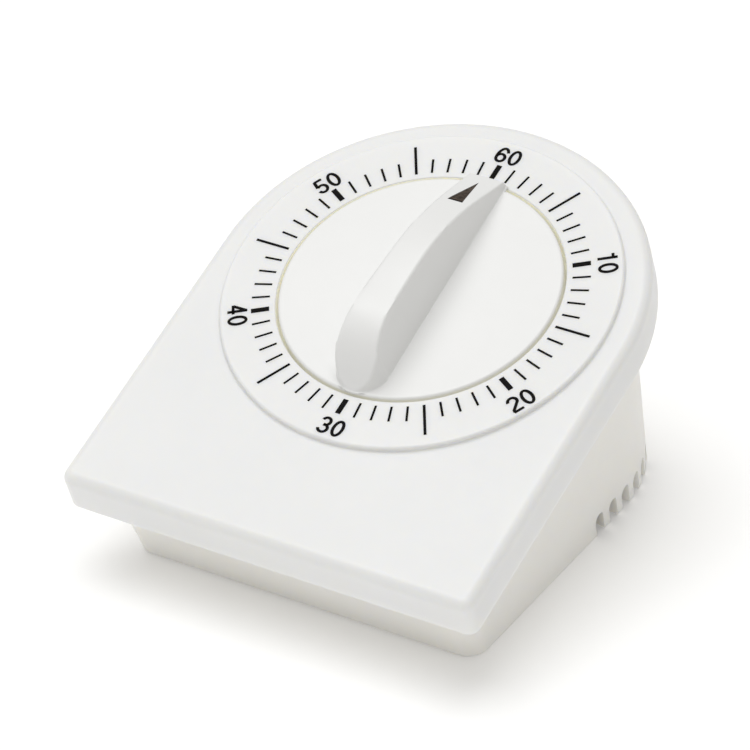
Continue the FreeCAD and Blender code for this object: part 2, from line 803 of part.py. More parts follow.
def make_pillars():
    """Four pillars: a tenon in the front plate, a tapped end against the back plate."""
    made = []
    inside = "-dims.back_plate + dims.frame_thick"
    span = "dims.back_plate - dims.frame_thick - dims.front_plate"
    for number, place in enumerate(PILLARS, start=1):
        post = pegs(f"pillar_{number}_body", [place], "dims.pillar_radius", span, inside)
        seat = ("dims.pillar_radius * 0.6", "dims.frame_thick + 1", "-dims.front_plate - 1")
        tenon = pegs(f"pillar_{number}_tenon", [place], *seat)
        tap = pegs(f"pillar_{number}_tap", [place], "dims.pillar_tap", "5", f"{inside} - 0.1")
        made.append(cut(f"pillar_{number}", fuse(f"pillar_{number}_whole", post + tenon), tap))
    group_of("pillar_group", made, "movement_pillars")


def screw_set(name, places, shank, length, seat, label):
    """Screws with a round head under a plate and a plain shank up through it."""
    made = []
    for number, place in enumerate(places, start=1):
        low = f"{seat} - dims.mount_head_thick"
        head = pegs(f"{name}_{number}_head", [place], "dims.mount_head", "dims.mount_head_thick", low)
        stem = pegs(f"{name}_{number}_stem", [place], shank, length, seat)
        made.append(fuse(f"{name}_{number}", head + stem))
    group_of(f"{name}_group", made, label)


def make_main_arbor():
    """The arbor under the knob with what turns on it: its clip, the trip cam, the great wheel, the ratchet."""
    bore = dim("main_arbor") + dim("seat_gap")
    back = -dim("back_plate") + dim("frame_thick") + dim("end_shake")
    top = dim("knob_top") + 3.5
    rounds = [(dim("main_arbor"), back, top), (dim("main_pivot"), -dim("back_plate"), back)]
    turned("main_arbor", MAIN, rounds)
    clip = ring("arbor_clip_ring", "4", "dims.main_arbor + dims.seat_gap", "0.5", "-dims.clip_level")
    finish(clip, "arbor_clip")
    disc = cylinder("cam_disc", "dims.cam_radius", "dims.cam_thick")
    notch = box("cam_notch", "dims.cam_notch_deep + 1", "dims.cam_notch", "3")
    move(notch, "dims.cam_radius - dims.cam_notch_deep", "-dims.cam_notch / 2", "-1")
    hole = cylinder("cam_bore", "dims.main_arbor + dims.seat_gap", "3", z="-1")
    finish(cut("cam_solid", disc, [notch, hole]), "trip_cam", z=-dim("cam_level"), turn=-45.0)
    thick = dim("great_thick")
    great = plate_of(wheel("great_teeth", "great_module", SECOND_AIM), thick, bore)
    feature("great_wheel", spokes(great, 4.2, 10.4, 2.4, thick, 4), MAIN, -dim("great_level"))
    outline = star_outline(dim("ratchet_teeth"), [(dim("ratchet_tip"), 0.0), (dim("ratchet_root"), 2.0)])
    ratchet = plate_of(outline, dim("sheet_thick"), bore)
    feature("ratchet_wheel", ratchet, MAIN, -dim("ratchet_level"))


def make_click():
    """The click on the great wheel's spoke, its stud and its spring."""
    radius = dim("click_radius")
    stud = joined([eye(0, 0, 0.7, 1.5), eye(0, 0, 1.1, 0.3)])
    feature("click_stud", stud, (radius, 0.0), -dim("click_stud_level"))
    corners = [(8.9, -0.9), (9.2, 0.7), (5.2, 3.6), (4.35, 2.75), (7.4, -0.9), (8.9, -0.9)]
    outline = Part.makePolygon([FreeCAD.Vector(x, y, 0) for x, y in corners])
    pawl = Part.Face(outline).extrude(FreeCAD.Vector(0, 0, dim("sheet_thick")))
    feature("click_pawl", bored(pawl, 0.72, radius), MAIN, -dim("click_level"))
    leaf = bored(Part.makeCylinder(9.95, 0.6, FreeCAD.Vector(), FreeCAD.Vector(0, 0, 1), 70), 9.7)
    leaf.rotate(FreeCAD.Vector(), FreeCAD.Vector(0, 0, 1), 22)
    feature("click_spring", joined([leaf, eye(0, 9.5, 0.6, 0.9)]), MAIN, -dim("click_spring_level"))


def spiral(name):
    """A flat spiral spring: one strip between two evenly growing curves."""
    inner, outer = dim(f"{name}_in"), dim(f"{name}_out")
    turns, leaf = dim(f"{name}_turns"), dim(f"{name}_leaf")
    count = int(turns * 16)

    def edge(offset):
        points = []
        for number in range(count + 1):
            radius = inner + (outer - inner) * number / count + offset
            points.append(FreeCAD.Vector(*polar(radius, 360 * turns * number / count), 0))
        curve = Part.BSplineCurve()
        curve.interpolate(points)
        return curve.toShape(), points

    near, low = edge(0.0)
    far, high = edge(leaf)
    ends = [Part.makeLine(low[0], high[0]), Part.makeLine(low[-1], high[-1])]
    outline = Part.Wire(Part.__sortEdges__([near, ends[1], far, ends[0]]))
    return Part.Face(outline).extrude(FreeCAD.Vector(0, 0, dim(f"{name}_width")))


def make_mainspring():
    """The mainspring's coil, and the post on the back plate that holds its outer end."""
    feature("mainspring", spiral("mainspring"), MAIN, -dim("mainspring_level"), SPRING_END)
    x, y = polar(dim("mainspring_out") + dim("mainspring_leaf") + 1.0, SPRING_END)
    post = cylinder("spring_post_solid", "0.95", "5")
    finish(post, "mainspring_post", x, y, -dim("back_plate") + dim("frame_thick"))


def make_train():
    """Second, third and escape arbors with their pinions, and the wheels they carry."""
    bore, radius, thick = dim("arbor") + dim("seat_gap"), dim("arbor"), dim("sheet_thick")
    facing = 180.0 + 180.0 / dim("pinion_leaves")
    leaves = plate_of(pinion("pinion_leaves", "great_module", SECOND_AIM + facing), 1.8, 0)
    pivoted("second_arbor", SECOND, radius, at_level(leaves, -dim("second_leaves_level")))
    second = plate_of(wheel("second_teeth", "fine_module", THIRD_AIM), thick, bore)
    feature("second_wheel", spokes(second, 2.2, 7.4, 1.6, thick, 4), SECOND, -dim("second_level"))
    leaves = plate_of(pinion("pinion_leaves", "fine_module", THIRD_AIM + facing), 1.6, 0)
    pivoted("third_arbor", THIRD, radius, at_level(leaves, -dim("third_leaves_level")))
    third = plate_of(wheel("third_teeth", "fine_module", ESCAPE_AIM), thick, bore)
    feature("third_wheel", spokes(third, 2.2, 6.8, 1.6, thick, 4), THIRD, -dim("third_level"))
    facing = 180.0 + 180.0 / dim("escape_leaves")
    leaves = plate_of(pinion("escape_leaves", "fine_module", ESCAPE_AIM + facing), 1.6, 0)
    pivoted("escape_arbor", ESCAPE, 0.7, at_level(leaves, -dim("escape_leaves_level")))
    tip, root = dim("escape_tip"), dim("escape_root")
    profile = [(root, -4.0), (tip, -0.7), (tip, 0.7), (root, 9.0)]
    escape = plate_of(star_outline(dim("escape_teeth"), profile, PALLET_AIM), thick, 0.72)
    feature("escape_wheel", spokes(escape, 1.7, 3.5, 1.1, thick, 3), ESCAPE, -dim("escape_level"))
    profile = [(dim("star_tip"), 0.0), (dim("star_root"), 18.0)]
    star = plate_of(star_outline(6, profile), thick, bore)
    feature("strike_star", star, SECOND, -dim("star_level"))


def make_pallet():
    """The pallet lever with its two steel pins astride the escape wheel and its fork."""
    pivoted("pallet_arbor", PALLET, 0.7)
    arm, tip, thick = dim("pallet_arm"), dim("pallet_fork"), dim("pallet_thick")
    block = Part.makeBox(1.7, 2.4, thick, FreeCAD.Vector(tip - 1.7, -1.2, 0))
    slot = Part.makeBox(2, 1.0, 2, FreeCAD.Vector(tip - 0.9, -0.5, -1))
    fork = bar(0, 0, tip - 0.9, 0, 1.1, thick).fuse(block).cut(slot)
    fork.rotate(FreeCAD.Vector(), FreeCAD.Vector(0, 0, 1), BALANCE_AIM - PALLET_AIM)
    parts = [eye(0, 0, 1.6, thick), fork]
    for side in (-1, 1):
        parts += [bar(0, 0, -arm, side * arm, 1.2, thick), eye(-arm, side * arm, 0.8, thick)]
    lever = bored(joined(parts), 0.72)
    for side in (-1, 1):
        lever = bored(lever, dim("pallet_pin") + 0.01, -arm, side * arm)
    feature("pallet_lever", lever, PALLET, -dim("pallet_level"), PALLET_AIM)
    pins = [eye(-arm, side * arm, dim("pallet_pin"), 2.0) for side in (-1, 1)]
    feature("pallet_pins", Part.makeCompound(pins), PALLET, -dim("pallet_level"), PALLET_AIM)


def make_balance():
    """The balance with its staff and roller, and the hairspring with its collet and stud."""
    bore = dim("arbor") + dim("seat_gap")
    pivoted("balance_staff", BALANCE, dim("arbor"))
    thick, rim = dim("balance_thick"), dim("balance_radius") - dim("balance_rim")
    disc = spokes(eye(0, 0, dim("balance_radius"), thick), 2.0, rim, 1.6, thick, 3)
    feature("balance_wheel", bored(disc, bore), BALANCE, -dim("balance_level"))
    x, y = polar(dim("impulse_circle"), BALANCE_AIM + 180.0)
    pin = at_level(eye(x, y, 0.3, 1.4), 0.7)
    roller = bored(eye(0, 0, dim("roller_radius"), 0.7), bore)
    feature("balance_roller", joined([roller, pin]), BALANCE, -dim("roller_level"))
    collet = bored(eye(0, 0, 1.35, 0.8), bore)
    feature("hairspring_collet", collet, BALANCE, -dim("collet_level"))
    feature("hairspring", spiral("hairspring"), BALANCE, -dim("hairspring_level"), HAIRSPRING_END)
    x, y = polar(dim("hairspring_out") + dim("hairspring_leaf") + 0.52, HAIRSPRING_END)
    stud = cylinder("hairspring_stud_solid", "0.5", "1.8")
    level = -dim("back_plate") + dim("frame_thick")
    finish(stud, "hairspring_stud", BALANCE[0] + x, BALANCE[1] + y, level)


def make_hammer():
    """The hammer on its own arbor: a tail by the strike star, an arm and a head by the bell's rim."""
    front = -dim("front_plate") - dim("end_shake")
    top = front + dim("end_shake") + dim("frame_thick")
    radius, thick = dim("hammer_arbor"), dim("sheet_thick")
    turned("hammer_arbor", HAMMER, [(radius, -29.6, front), (dim("pivot"), front, top)])
    aim = math.degrees(math.atan2(SECOND[1] - HAMMER[1], SECOND[0] - HAMMER[0]))
    tail = joined([bar(0, 0, dim("hammer_tail"), 0, 1.4, thick), eye(0, 0, 2.0, thick)])
    feature("hammer_tail", bored(tail, radius + dim("seat_gap")), HAMMER, -dim("star_level"), aim)
    drop = dim("bell_rim") - dim("bell_centre")
    rim = math.sqrt(dim("bell_sphere") ** 2 - drop**2)
    x, y = polar(rim + dim("bell_gap") + dim("hammer_head"), HAMMER_SIDE)
    head = (BELL[0] + x - HAMMER[0], BELL[1] + y - HAMMER[1])
    arm = joined([bar(0, 0, *head, 2.0, thick), eye(0, 0, 2.0, thick), eye(*head, 1.6, thick)])
    feature("hammer_arm", bored(arm, radius + dim("seat_gap")), HAMMER, -dim("arm_level"))
    strike = cylinder("hammer_head_solid", "dims.hammer_head", "dims.head_level - dims.arm_level")
    finish(strike, "hammer_head", HAMMER[0] + head[0], HAMMER[1] + head[1], -dim("head_level"))
    coil = bored(eye(0, 0, 1.7, 3.0), 1.3)
    legs = [bar(1.5, 0, 4.6, -2.5, 0.3, 0.3), bar(-1.4, 0.2, -4.4, 2.4, 0.3, 0.3)]
    feature("hammer_spring", joined([coil, *legs]), HAMMER, -dim("coil_level"))


def make_trip():
    """The trip lever: its nose waits over the cam's notch, on a stud in the front plate."""
    thick, reach = dim("sheet_thick"), dim("front_plate") + 2.2
    stud = cylinder("trip_stud_solid", "0.8", "2.2")
    finish(stud, "trip_stud", TRIP[0], TRIP[1], -reach)
    elbow = (TRIP_ELBOW[0] - TRIP[0], TRIP_ELBOW[1] - TRIP[1])
    nose = (TRIP_NOSE[0] - TRIP[0], TRIP_NOSE[1] - TRIP[1])
    parts = [bar(0, 0, *elbow, 1.5, thick), eye(0, 0, 1.7, thick), eye(*elbow, 0.75, thick)]
    parts += [bar(*elbow, *nose, 1.0, thick), bar(0, 0, -4.5, -1.5, 1.3, thick)]
    feature("trip_lever", bored(joined(parts), 0.86), TRIP, -dim("trip_level"))
    feature("trip_spring", bored(eye(0, 0, 1.3, 0.5), 0.82), TRIP, -dim("trip_coil_level"))


def make_bell():
    """A dished steel gong on a post behind the movement, open towards it."""
    sphere = bind(doc.addObject("Part::Sphere", "bell_outside"), Radius="dims.bell_sphere")
    hollow = bind(doc.addObject("Part::Sphere", "bell_inside"), Radius="dims.bell_sphere - dims.bell_wall")
    for ball in (sphere, hollow):
        move(ball, z="-dims.bell_centre")
    above = box("bell_above", "60", "60", "60", "-30", "-30", "-dims.bell_rim")
    hole = cylinder("bell_hole", "dims.bell_hole", "30", z="-dims.bell_centre - 35")
    finish(cut("bell_solid", sphere, [hollow, above, hole]), "bell", *BELL)
    foot = cylinder("bell_post_body", "dims.bell_post", "9.2", z="-dims.back_plate - 9.2")
    tenon = cylinder("bell_post_tenon", "dims.bell_tenon", "dims.frame_thick + 1", z="-dims.back_plate - 1")
    tap = cylinder("bell_post_tap", "1.52", "4.4", z="-dims.back_plate - 9.3")
    finish(cut("bell_post_solid", fuse("bell_post_whole", [foot, tenon]), [tap]), "bell_post", *BELL)
    head = cylinder("bell_screw_head", "2.8", "1.2", z="-38.75")
    shank = cylinder("bell_screw_shank", "1.5", "5.2", z="-37.8")
    finish(fuse("bell_screw_solid", [head, shank]), "bell_screw", *BELL)


def check_and_export():
    doc.recompute()
    for item in doc.Objects:
        if {"Invalid", "Error"} & set(item.State):
            raise RuntimeError(f"{item.Label}: {item.State}")
    for piece in nodes:
        shape = piece.Shape
        if shape.isNull() or not shape.isValid() or not shape.Solids:
            raise RuntimeError(f"{piece.Label}: no valid solid")
    whole = FreeCAD.BoundBox()
    for piece in nodes:
        piece.Shape.exportStep(os.path.join("parts", f"{piece.Label}.step"))
        whole.add(piece.Shape.BoundBox)
    print(len(nodes), "pieces", whole)


make_face_plate()
make_base_shell()
make_case_screws()
make_knob()
make_frame_plates()
make_pillars()
screw_set("plate_screw", PILLARS, "dims.plate_shank", "5", "-dims.back_plate", "plate_screws")
screw_set("mount_screw", mount_places(), "dims.mount_shank", "4.6", "-dims.front_plate", "mount_screws")
make_main_arbor()
make_click()
make_mainspring()
make_train()
make_pallet()
make_balance()
make_hammer()
make_trip()
make_bell()
check_and_export()
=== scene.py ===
import json
import math

import bmesh
import bpy
from mathutils import Matrix, Vector


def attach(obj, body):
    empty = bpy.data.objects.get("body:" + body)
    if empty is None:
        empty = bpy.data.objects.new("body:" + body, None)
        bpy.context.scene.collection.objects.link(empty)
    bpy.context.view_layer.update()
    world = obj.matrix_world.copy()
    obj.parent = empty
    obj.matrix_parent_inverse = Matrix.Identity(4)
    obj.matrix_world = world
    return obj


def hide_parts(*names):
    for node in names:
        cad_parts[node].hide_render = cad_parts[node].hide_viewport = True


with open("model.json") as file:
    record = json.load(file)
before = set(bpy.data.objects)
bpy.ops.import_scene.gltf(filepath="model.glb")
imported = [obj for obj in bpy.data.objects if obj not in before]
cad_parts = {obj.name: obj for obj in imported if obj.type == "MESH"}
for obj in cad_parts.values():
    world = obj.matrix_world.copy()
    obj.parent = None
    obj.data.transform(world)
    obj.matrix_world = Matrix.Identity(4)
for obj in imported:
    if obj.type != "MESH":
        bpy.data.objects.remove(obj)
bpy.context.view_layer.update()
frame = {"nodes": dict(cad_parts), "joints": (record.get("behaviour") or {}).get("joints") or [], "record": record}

# The dial frame: millimetres, origin at the centre of the dial, x right, y up the face and z out
# of it. All sizes below are in it. HEIGHT is how far its origin stands over the table.
turn_joint = next(j for j in frame["joints"] if j["name"] == "knob_turn")
DIAL_CENTRE = Vector(turn_joint["pos_m"])
TILT = math.atan2(turn_joint["axis"][1], -turn_joint["axis"][2])
DIAL = Matrix.Translation(DIAL_CENTRE) @ Matrix.Rotation(TILT, 4, "X") @ Matrix.Scale(0.001, 4)
HEIGHT = DIAL_CENTRE.z * 1000.0

# face plate
PLATE_HALF, PLATE_FRONT, PLATE_CORNER = 40.0, 57.8, 2.2
PLATE_Z, PLATE_LOW, PLATE_EDGE, PLATE_WALL = -1.0, -9.0, 1.9, 2.0
PLATE_LOW_EDGE, PLATE_INNER_EDGE, PLATE_CEILING = 0.45, 0.3, -3.0
PLATEAU, PLATEAU_EDGE, PLATEAU_FILLET = 35.4, 0.5, 0.3
WELL, WELL_EDGE, WELL_FLOOR, WELL_WALL, WELL_HOLE = 25.45, 0.2, -5.0, 1.8, 3.4
# an extra loop, this far beside a rounded edge, keeps the flat face next to it flat
HOLD, PLATEAU_HOLD, PLATE_HOLD = 0.05, 0.06, 0.08
# base
BASE_HALF, BASE_FRONT, BASE_CORNER, BASE_DRAFT = 35.55, 53.85, 5.2, 0.09
BASE_WALL, BASE_FLOOR, BASE_EDGE, BASE_LEAST_CORNER = 2.2, 2.0, 0.35, 0.6
FLANGE_INSET, FLANGE_LOW, FLANGE_TOP = 2.15, -8.98, -7.4
VENT_ANGLES = [-15.6 + 8.1 * n for n in range(6)]
VENT_HALF, VENT_TOP, VENT_RADIUS = 1.35, 5.5, 31.8
VENT_START, VENT_END, VENT_BELOW_TABLE = 28.0, 42.0, 4.0
SCREW_PLACES = [(-27.0, -42.0), (27.0, -42.0), (-19.8, 19.8), (19.8, 19.8)]
SCREW_WELL, SCREW_SEAT = 2.5, -16.0
BELOW_TABLE = -70.0
SOFT_EDGE = 0.00014  # metres
# knob
DISC, DISC_TOP, DISC_EDGE, DISC_LOW, DISC_LOW_EDGE = 24.95, 0.3, 0.5, -4.2, 0.2
SKIRT_INSIDE, DISC_UNDERSIDE = 22.8, -1.7
HUB, HUB_LOW, BORE, BORE_TOP = 4.4, -4.6, 2.02, 0.1
NOSE_Y, TAIL_Y = 25.35, -24.7
NOSE_HALF, TAIL_HALF = 3.5, 4.8
FLANK_SLOPE, NOSE_SLOPE, NOSE_OVERHANG = 9.0, 4.5, 0.25
CROWN_DOME, CROWN_ROUND, NOSE_ROUND = 0.010, 1.2, 0.5
FOOT_FLARE, FOOT_ROUND, FOOT_SINK = 0.5, 0.7, 0.005


def polar(radius, degrees):
    return radius * math.cos(math.radians(degrees)), radius * math.sin(math.radians(degrees))


SAME_POINT = 1e-4


def solid(name, verts, faces):
    """A closed mesh in the dial frame, in millimetres."""
    mesh = bpy.data.meshes.new(name)
    mesh.from_pydata([tuple(v) for v in verts], [], faces)
    work = bmesh.new()
    work.from_mesh(mesh)
    bmesh.ops.remove_doubles(work, verts=work.verts, dist=SAME_POINT)
    bmesh.ops.recalc_face_normals(work, faces=work.faces)
    work.to_mesh(mesh)
    work.free()
    obj = bpy.data.objects.new(name, mesh)
    bpy.context.scene.collection.objects.link(obj)
    return obj


def settle(obj, body, material, replaces=(), smooth_below=32.0):
    """Sets a mesh of the dial frame in its place on a body, smooth except across real edges."""
    obj.data.transform(DIAL)
    obj.data.shade_smooth()
    obj.data.set_sharp_from_angle(angle=math.radians(smooth_below))
    obj.data.materials.append(material)
    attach(obj, body)
    if replaces:
        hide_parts(*replaces)


def piece(name, mesh, body, material, replaces=(), smooth_below=32.0):
    """Makes a mesh, a pair of points and faces, and settles it."""
    obj = solid(name, *mesh)
    settle(obj, body, material, replaces, smooth_below)
    return obj


def skin(loops, close_start=False, close_end=False):
    """Quads between closed loops of equal length, with a cap on the first or last."""
    verts, faces = [], []
    count = len(loops[0])
    for loop in loops:
        verts += loop
    for row in range(len(loops) - 1):
        for n in range(count):
            a, b = row * count + n, row * count + (n + 1) % count
            faces.append((a, b, b + count, a + count))
    if close_start:
        faces.append(tuple(range(count))[::-1])
    if close_end:
        faces.append(tuple(range((len(loops) - 1) * count, len(loops) * count)))
    return verts, faces


# ---------------------------------------------------------------- outline of plate and base
ARC_STEPS, SIDE_STEPS, CORNER_STEPS, FRONT_STEPS = 96, 22, 10, 48
ARCH_POINTS = ARC_STEPS + 2 * SIDE_STEPS + 2 * CORNER_STEPS + FRONT_STEPS


def arch_point(n, half, front, corner):
    """A point of the outline: a semicircle about the dial, straight sides and a straight front."""
    low, wide = corner - front, half - corner
    if n < ARC_STEPS:
        return polar(half, 180.0 * n / ARC_STEPS)
    n -= ARC_STEPS
    if n < SIDE_STEPS:
        return -half, low * n / SIDE_STEPS
    n -= SIDE_STEPS
    if n < CORNER_STEPS:
        x, y = polar(corner, 180.0 + 90.0 * n / CORNER_STEPS)
        return x - wide, low + y
    n -= CORNER_STEPS
    if n < FRONT_STEPS:
        return -wide + 2 * wide * n / FRONT_STEPS, -front
    n -= FRONT_STEPS
    if n < CORNER_STEPS:
        x, y = polar(corner, 270.0 + 90.0 * n / CORNER_STEPS)
        return wide + x, low + y
    return half, low * (1 - (n - CORNER_STEPS) / SIDE_STEPS)


def arch(half, front, corner):
    return [arch_point(n, half, front, corner) for n in range(ARCH_POINTS)]


def plate_loop(inset, z):
    """The plate's outline, inset; its corners shrink with the inset, but not inside the wall."""
    corner = max(PLATE_CORNER - inset, 0.25) if inset < PLATE_WALL else PLATE_CORNER
    return [(x, y, z) for x, y in arch(PLATE_HALF - inset, PLATE_FRONT - inset, corner)]


OUTLINE_ANGLES = [math.atan2(y, x) for x, y in arch(PLATE_HALF, PLATE_FRONT, PLATE_CORNER)]


def round_loop(radius, z):
    """A circle whose points lie opposite those of the arch."""
    return [(radius * math.cos(a), radius * math.sin(a), z) for a in OUTLINE_ANGLES]


def bend(start, end, steps=6):
    """Quarter round between two (inset or radius, z) points; it leaves start going vertically."""
    (r0, z0), (r1, z1) = start, end
    points = []
    for n in range(steps + 1):
        a = math.pi / 2 * n / steps
        points.append((r0 + (r1 - r0) * (1 - math.cos(a)), z0 + (z1 - z0) * math.sin(a)))
    return points


def bend_flat(start, end, steps=6):
    """Quarter round that leaves start going horizontally."""
    return bend(end, start, steps)[::-1]


def make_face_plate(material, well_glow_material):
    inner = PLATE_WALL - PLATE_INNER_EDGE
    rim = [(PLATE_WALL, PLATE_CEILING)]
    rim += bend((PLATE_WALL, PLATE_LOW + PLATE_INNER_EDGE), (inner, PLATE_LOW), 3)
    rim += bend_flat((PLATE_LOW_EDGE, PLATE_LOW), (0.0, PLATE_LOW + PLATE_LOW_EDGE), 5)
    rim += [(0.0, PLATE_LOW + PLATE_LOW_EDGE + HOLD), (0.0, PLATE_Z - PLATE_EDGE - HOLD)]
    rim += bend((0.0, PLATE_Z - PLATE_EDGE), (PLATE_EDGE, PLATE_Z), 10)
    rim += [(PLATE_EDGE + PLATE_HOLD, PLATE_Z), (PLATE_EDGE + 1.0, PLATE_Z)]
    foot, crown = PLATEAU + PLATEAU_FILLET, PLATEAU - PLATEAU_EDGE
    top = [(foot + PLATEAU_HOLD, PLATE_Z)]
    top += bend_flat((foot, PLATE_Z), (PLATEAU, PLATE_Z + PLATEAU_FILLET), 4)
    top += bend((PLATEAU, -PLATEAU_EDGE), (crown, 0.0), 7)
    top += [(crown - PLATEAU_HOLD, 0.0), (WELL + WELL_EDGE + HOLD, 0.0)]
    top += bend_flat((WELL + WELL_EDGE, 0.0), (WELL, -WELL_EDGE), 5)
    top += [(WELL, -WELL_EDGE - HOLD), (WELL, WELL_FLOOR), (WELL_HOLE, WELL_FLOOR)]
    top += [(WELL_HOLE, WELL_FLOOR - WELL_WALL), (WELL + WELL_WALL, WELL_FLOOR - WELL_WALL)]
    top += [(WELL + WELL_WALL, PLATE_CEILING)]
    loops = [plate_loop(*point) for point in rim] + [round_loop(*point) for point in top]
    mesh = skin(loops + loops[:1])
    case = piece("case_face", mesh, "housing", material, ["face_plate"])
    case.data.materials.append(well_glow_material)
    to_dial, margin = DIAL.inverted(), 0.05
    # faces of the well's wall get the well's painted light, an ivory tint with a faint glow
    for face in case.data.polygons:
        at = to_dial @ face.center
        if math.hypot(at.x, at.y) < WELL + margin and WELL_FLOOR - margin < at.z < -WELL_EDGE:
            face.material_index = 1


# ---------------------------------------------------------------- base
SIN, COS = math.sin(TILT), math.cos(TILT)


def base_loop(inset, level=None, share=1.0, top=PLATE_LOW):
    """The drafted arch, inset, at a share of the way from top down to a level above the table."""
    points = []
    for n, (x, y) in enumerate(arch(BASE_HALF - inset, BASE_FRONT - inset, BASE_CORNER)):
        z = top
        if level is not None:
            for _ in range(5):  # the draft moves the point, which moves the table under it
                z = top + share * ((level - HEIGHT - y * SIN) / COS - top)
                draft = BASE_DRAFT * (PLATE_LOW - z)
                corner = max(BASE_CORNER - draft - inset * 0.5, BASE_LEAST_CORNER)
                drop = inset + draft
                x, y = arch_point(n, BASE_HALF - drop, BASE_FRONT - drop, corner)
        points.append((x, y, z))
    return points


def vent_cutter(angle):
    """A slot with a round top, open at the foot, pointing out along its angle."""
    table = (-HEIGHT - polar(VENT_RADIUS, angle)[1] * SIN) / COS
    crown = table + VENT_TOP - VENT_HALF
    foot = table - VENT_BELOW_TABLE
    outline = [(-VENT_HALF, foot), (VENT_HALF, foot)]
    for n in range(17):
        across, up = polar(VENT_HALF, 180.0 * n / 16)
        outline.append((across, crown + up))
    turn = Matrix.Rotation(math.radians(angle), 4, "Z")
    loops = []
    for radius in (VENT_START, VENT_END):
        loops.append([turn @ Vector((radius, across, z)) for across, z in outline])
    return skin(loops, True, True)


def well_cutter(x, y):
    """A round well for a case screw, from below the table up to the screw's seat."""
    ring = [polar(SCREW_WELL, 7.5 * n) for n in range(48)]
    loops = [[(x + dx, y + dy, z) for dx, dy in ring] for z in (BELOW_TABLE, SCREW_SEAT)]
    return skin(loops, True, True)


def cut_out(target, cutters):
    """Takes the cutters out of the target for good."""
    verts, faces = [], []
    for cutter_verts, cutter_faces in cutters:
        faces += [tuple(i + len(verts) for i in face) for face in cutter_faces]
        verts += cutter_verts
    tool = solid("tool", verts, faces)
    modifier = target.modifiers.new("cut", "BOOLEAN")
    modifier.object = tool
    modifier.operation = "DIFFERENCE"
    modifier.solver = "EXACT"
    modifier.use_self = True
    graph = bpy.context.evaluated_depsgraph_get()
    done = bpy.data.meshes.new_from_object(target.evaluated_get(graph))
    target.modifiers.clear()
    target.data = done
    bpy.data.objects.remove(tool)


def make_base(material):
    wall_rows, inner_rows = 14, 6
    outer = [base_loop(0.0, BASE_EDGE, n / wall_rows) for n in range(wall_rows + 1)]
    for inset, level in bend((0.0, BASE_EDGE), (BASE_EDGE, 0.0), 4)[1:]:
        outer.append(base_loop(inset, level))
    rim = arch(PLATE_HALF - FLANGE_INSET, PLATE_FRONT - FLANGE_INSET, PLATE_CORNER)
    flange = [[(x, y, z) for x, y in rim] for z in (FLANGE_LOW, FLANGE_TOP)]
    inner = [base_loop(BASE_WALL, top=FLANGE_TOP)]
    inner += [base_loop(BASE_WALL, BASE_FLOOR, n / inner_rows) for n in range(inner_rows + 1)]
    shell = solid("case_base", *skin(outer[::-1] + flange + inner, True, True))
    cutters = [vent_cutter(angle) for angle in VENT_ANGLES]
    cutters += [vent_cutter(180.0 - angle) for angle in VENT_ANGLES]
    cut_out(shell, cutters + [well_cutter(x, y) for x, y in SCREW_PLACES])
    settle(shell, "housing", material, ["base_shell"], 28.0)
    soft = shell.modifiers.new("soft edges", "BEVEL")
    soft.width = SOFT_EDGE
    soft.segments = 2
    soft.limit_method = "ANGLE"
    soft.angle_limit = math.radians(35)


# ---------------------------------------------------------------- knob
# the grip's crest, (y, z), from its nose to its tail
CREST = [(25.7, 1.5), (24.6, 2.0), (22.6, 2.9), (20.0, 4.1), (15.6, 6.1), (12.2, 7.4), (7.0, 9.0),
         (2.0, 9.9), (-3.5, 10.25), (-8.9, 10.3), (-12.5, 10.3), (-15.0, 10.0), (-17.2, 9.2),
         (-19.0, 8.0), (-20.6, 6.3), (-22.0, 4.3), (-23.3, 2.3), (-24.3, 0.9), (-24.9, 0.2)]


def spline(table, at):
    """Smooth curve through a table of points, sorted from high to low."""
    at = min(max(at, table[-1][0]), table[0][0])
    n = next(n for n in range(len(table) - 1) if table[n + 1][0] <= at)
    before, after = table[max(n - 1, 0)], table[min(n + 2, len(table) - 1)]
    (x1, y1), (x2, y2) = table[n], table[n + 1]
    t = (at - x1) / (x2 - x1)
    m1 = (y2 - before[1]) / (x2 - before[0]) * (x2 - x1)
    m2 = (after[1] - y1) / (after[0] - x1) * (x2 - x1)
    ends = (2 * t**3 - 3 * t**2 + 1) * y1 + (3 * t**2 - 2 * t**3) * y2
    return ends + (t**3 - 2 * t**2 + t) * m1 + (t**3 - t**2) * m2


def soft_min(a, b, k):
    """The smaller of two heights, with the corner between them rounded over k."""
    h = max(k - abs(a - b), 0.0) / k
    return min(a, b) - h * h * k / 4


def half_width(y):
    """Half the grip's width at its foot."""
    share = (NOSE_Y - y) / (NOSE_Y - TAIL_Y)
    return NOSE_HALF + (TAIL_HALF - NOSE_HALF) * share


TAIL_PIVOT = TAIL_Y + half_width(TAIL_Y)


def grip_height(x, y, inward):
    """Height of the grip's surface at a place a given way in from its foot's outline."""
    flank = FLANK_SLOPE * inward + DISC_TOP
    nose = NOSE_SLOPE * (NOSE_Y + NOSE_OVERHANG - y) + DISC_TOP
    crown = spline(CREST, y) - CROWN_DOME * x * x
    return soft_min(soft_min(flank, crown, CROWN_ROUND), nose, NOSE_ROUND)


